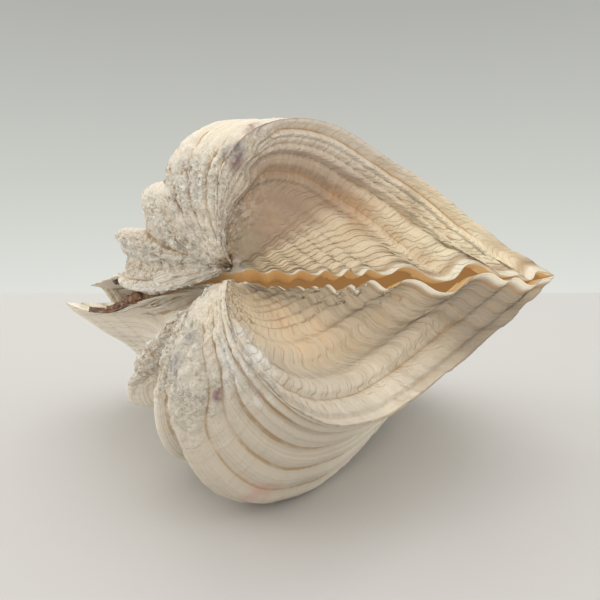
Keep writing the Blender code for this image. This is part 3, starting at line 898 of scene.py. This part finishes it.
def plate_spot(side, share, depth, level):
    """A point over one valve's hinge plate, by share of the hinge line, depth in from it and height."""
    length = (LEFT_HINGE if side > 0 else RIGHT_HINGE) * share
    corner = math.radians(HINGE_ANGLE)
    rise = along(HINGE_RISES, share) + side * (along(HINGE_GAPS, share) - BEAK_GAP) / 2
    edge = Vector((length * math.cos(corner), length * math.sin(corner), rise))
    inward = Vector((BOWL_CENTRE[0], BOWL_CENTRE[1], 0)) - edge
    spot = edge + inward.normalized() * depth + Vector((0, 0, side * (BEAK_GAP / 2 - level)))
    spot = spot * MM
    spot.rotate(REST_POSE)
    return spot + REST_SHIFT


def flake_row(bm, side, centre, half, lift, droop, seed, s, skin):
    """One row of a flake's points, across it, at a share s from -1 to 1 of its half length."""
    ragged = 0.35 * noise.noise(Vector((s * 4.1, seed, 0.3)))
    ragged = 0.75 + ragged + 0.28 * noise.noise(Vector((s * 11, seed, 7.0)))
    tear = ragged * max(0.0, 1 - abs(s) ** 5) + 0.04
    share = centre + s * half[0] / (LEFT_HINGE if side > 0 else RIGHT_HINGE)
    row = []
    for j in range(FLAKE_WIDTH_STEPS + 1):
        w = -1 + 2 * j / FLAKE_WIDTH_STEPS
        pull = w * tear * half[1] + 0.5 * noise.noise(Vector((s * 3, seed + 4, 1.0)))
        curl = lift * (0.3 + abs(w) ** 2) + droop * max(0.0, -w) ** 1.5
        crinkle = 0.35 * noise.noise(Vector((s * 9, w * 2, seed)))
        crinkle = crinkle + 0.18 * noise.noise(Vector((s * 25, w * 6, seed)))
        thick = half[2] * (1 - max(abs(w), abs(s)) ** 6)
        level = FLAKE_LIFT + curl + crinkle + skin * thick
        row.append(bm.verts.new(plate_spot(side, share, FLAKE_INSET + pull, level)))
    return row


def add_flake(bm, side, centre, half, lift, droop, seed):
    """One dried, curled, ragged-edged flake: two skins that meet all round their torn edge.

    Each patch is split from its inner corner, so that the skins share no triangle at the flake's corners.
    """
    for skin in (1, -1):
        grid = [flake_row(bm, side, centre, half, lift, droop, seed, -1 + 2 * i / FLAKE_LENGTH_STEPS, skin)
                for i in range(FLAKE_LENGTH_STEPS + 1)]
        for i in range(FLAKE_LENGTH_STEPS):
            for j in range(FLAKE_WIDTH_STEPS):
                places = [(i, j), (i + 1, j), (i + 1, j + 1), (i, j + 1)]
                first = places.index((i + (2 * i < FLAKE_LENGTH_STEPS), j + (2 * j < FLAKE_WIDTH_STEPS)))
                inner, left, outer, right = [grid[a][b] for a, b in places[first:] + places[:first]]
                for corners in ((inner, left, outer), (inner, outer, right)):
                    bm.faces.new(corners if skin * side > 0 else corners[::-1])


def ligament_piece(name, side, flakes, material):
    """Dried ligament on one hinge plate, from a few flakes."""
    bm = bmesh.new()
    for centre, half, lift, droop, seed in flakes:
        add_flake(bm, side, centre, half, lift, droop, seed)
    bmesh.ops.remove_doubles(bm, verts=bm.verts, dist=2e-6)
    for face in bm.faces:
        face.smooth = True
    mesh = bpy.data.meshes.new(name)
    bm.to_mesh(mesh)
    bm.free()
    mesh.materials.append(material)
    piece = bpy.data.objects.new(name, mesh)
    bpy.context.scene.collection.objects.link(piece)
    return piece


def ligament_material(name, dark, light):
    """Dried horny ligament: layered browns with pale torn fibres."""
    material = bpy.data.materials.new(name)
    material.use_nodes = True
    tree = material.node_tree
    shader = tree.nodes["Principled BSDF"]
    g = Graph(tree)
    spot = g.node("ShaderNodeTexCoord", out=3)
    stretched = g.node("ShaderNodeMapping", {}, {"Vector": spot, "Rotation": REST_POSE,
                                                 "Scale": (1.0, 0.3, 3.0)})
    layers = g.noise(stretched, 420.0, 4.0, 0.7)
    blotch = g.noise(spot, 260.0, 2.0)
    color = g.mix(layers.smooth(0.35, 0.65), dark, light)
    color = g.mix(blotch.smooth(0.55, 0.70) * 0.7, color, TORN_FIBRE)
    tree.links.new(color.socket, shader.inputs["Base Color"])
    rough = 0.45 + 0.35 * blotch
    tree.links.new(rough.socket, shader.inputs["Roughness"])
    bump = g.node("ShaderNodeBump", {}, {"Strength": 0.8, "Distance": 1.0, "Height": layers * 0.0008})
    tree.links.new(bump.socket, shader.inputs["Normal"])
    return material


LEFT_SHAPE = {"sizes": LEFT_SIZES, "folds": LEFT_FOLDS, "swells": LEFT_SWELLS, "teeth": LEFT_TEETH,
              "riblets": LEFT_RIBLETS, "drift": LEFT_DRIFT, "creases": LEFT_CREASES,
              "furrows": LEFT_FURROWS, "lean": LEFT_LEAN, "valleys": LEFT_VALLEYS, "sag": LEFT_SAG,
              "hinge_sag": LEFT_HINGE_SAG, "flat_lip": 0.35, "calm_face": 0.85}
RIGHT_SHAPE = {"sizes": RIGHT_SIZES, "folds": RIGHT_FOLDS, "swells": RIGHT_SWELLS, "teeth": RIGHT_TEETH,
               "riblets": RIGHT_RIBLETS, "drift": RIGHT_DRIFT, "creases": RIGHT_CREASES,
               "furrows": RIGHT_FURROWS, "lean": RIGHT_LEAN, "valleys": RIGHT_VALLEYS, "sag": RIGHT_SAG,
               "hinge_sag": RIGHT_HINGE_SAG, "flat_lip": 0.75, "calm_face": 0.2}
left = make_valve("upper_valve", 1, LEFT_SHAPE, UPPER_STAINS, UPPER_TINTS, 0.75, 3.0)
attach(left, "root")
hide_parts("left_valve")
right = make_valve("lower_valve", -1, RIGHT_SHAPE, LOWER_STAINS_AND_SHADE, LOWER_TINTS, 0.7, 11.0)
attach(right, "root")
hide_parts("right_valve")

horn = ligament_material("dried_ligament", paint(74, 52, 42), paint(140, 96, 66))
dark_horn = ligament_material("dark_ligament", paint(52, 46, 44), paint(104, 88, 78))
strip = ligament_piece("torn_ligament", -1, STRIP_FLAKES, horn)
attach(strip, "root")
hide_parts("ligament_strip")
scrap = ligament_piece("ligament_flake", 1, SCRAP_FLAKES, dark_horn)
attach(scrap, "root")
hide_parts("ligament_scrap")


# Stage: a floor, a backdrop that is darker towards the top, and brighter air behind the camera and above
FLOOR_SIZE = 2.0
FLOOR_PLACE = (0, -0.69, 0)
FLOOR_COLOR = (0.59, 0.58, 0.57, 1)
BACKDROP = [(0.0, (0.77, 0.78, 0.74, 1)), (0.4, (0.60, 0.61, 0.57, 1)), (0.9, (0.44, 0.445, 0.42, 1))]
BACKDROP_SPAN = (-0.18, 0.30)
BRIGHT_AIR = (1.12, 1.09, 1.04, 1)

# Soft square lights: name, place, point they face, size in metres, power in watts, colour
DAYLIGHT = (1.0, 0.98, 0.95)
PALE_LIGHT = (1.0, 0.98, 0.96)
LIGHTS = [("skylight", (0.0, 0.5, 0.9), (0, 0, 0.03), 1.0, 4.2, DAYLIGHT),
          ("left_window", (-0.95, 0.1, 0.45), (0, 0, 0.03), 1.0, 3.8, DAYLIGHT),
          ("right_fill", (0.95, 0.1, 0.45), (0, 0, 0.03), 1.0, 1.2, PALE_LIGHT),
          ("front_fill", (0.3, -0.5, 1.0), (0, 0, 0.05), 1.2, 1.5, PALE_LIGHT)]

CAMERA_PLACE = (0.00464, -0.21212, 0.09009)
CAMERA_TILT = 79.56
CAMERA_LENS = 37.2
CAMERA_SENSOR = 36.0


def plain_material(name, color, roughness):
    """A plain even finish for the floor."""
    material = bpy.data.materials.new(name)
    material.use_nodes = True
    shader = material.node_tree.nodes["Principled BSDF"]
    shader.inputs["Base Color"].default_value = color
    shader.inputs["Roughness"].default_value = roughness
    return material


def area_light(name, place, aim, size, power, color):
    """A soft square light that faces a point."""
    lamp = bpy.data.lights.new(name, "AREA")
    lamp.size = size
    lamp.energy = power
    lamp.color = color
    lantern = bpy.data.objects.new(name, lamp)
    lantern.location = place
    lantern.rotation_euler = (Vector(aim) - Vector(place)).to_track_quat("-Z", "Y").to_euler()
    bpy.context.scene.collection.objects.link(lantern)


def make_air():
    """World light: the backdrop ahead, brighter air behind and above."""
    world = bpy.data.worlds.new("room")
    bpy.context.scene.world = world
    world.use_nodes = True
    air = Graph(world.node_tree)
    away, upward = air.split(air.node("ShaderNodeTexCoord", out=0))[1:]
    ahead = air.node("ShaderNodeValToRGB", {"stops": BACKDROP}, {0: upward.span(*BACKDROP_SPAN)})
    behind = away.smooth(0.35, -0.35) * (0.3 + 0.7 * upward.smooth(0.0, 0.6))
    color = air.mix(behind, ahead, BRIGHT_AIR)
    world.node_tree.links.new(color.socket, world.node_tree.nodes["Background"].inputs["Color"])


bpy.ops.mesh.primitive_plane_add(size=FLOOR_SIZE, location=FLOOR_PLACE)
floor = bpy.context.object
floor.name = "floor"
floor.data.materials.append(plain_material("pale_floor", FLOOR_COLOR, 0.5))
make_air()
for light in LIGHTS:
    area_light(*light)

camera = bpy.data.cameras.new("camera")
camera.sensor_width = CAMERA_SENSOR
camera.lens = CAMERA_LENS
viewpoint = bpy.data.objects.new("camera", camera)
viewpoint.location = CAMERA_PLACE
viewpoint.rotation_euler = (math.radians(CAMERA_TILT), 0, 0)
bpy.context.scene.collection.objects.link(viewpoint)
bpy.context.scene.camera = viewpoint
bpy.context.scene.view_settings.view_transform = "Standard"
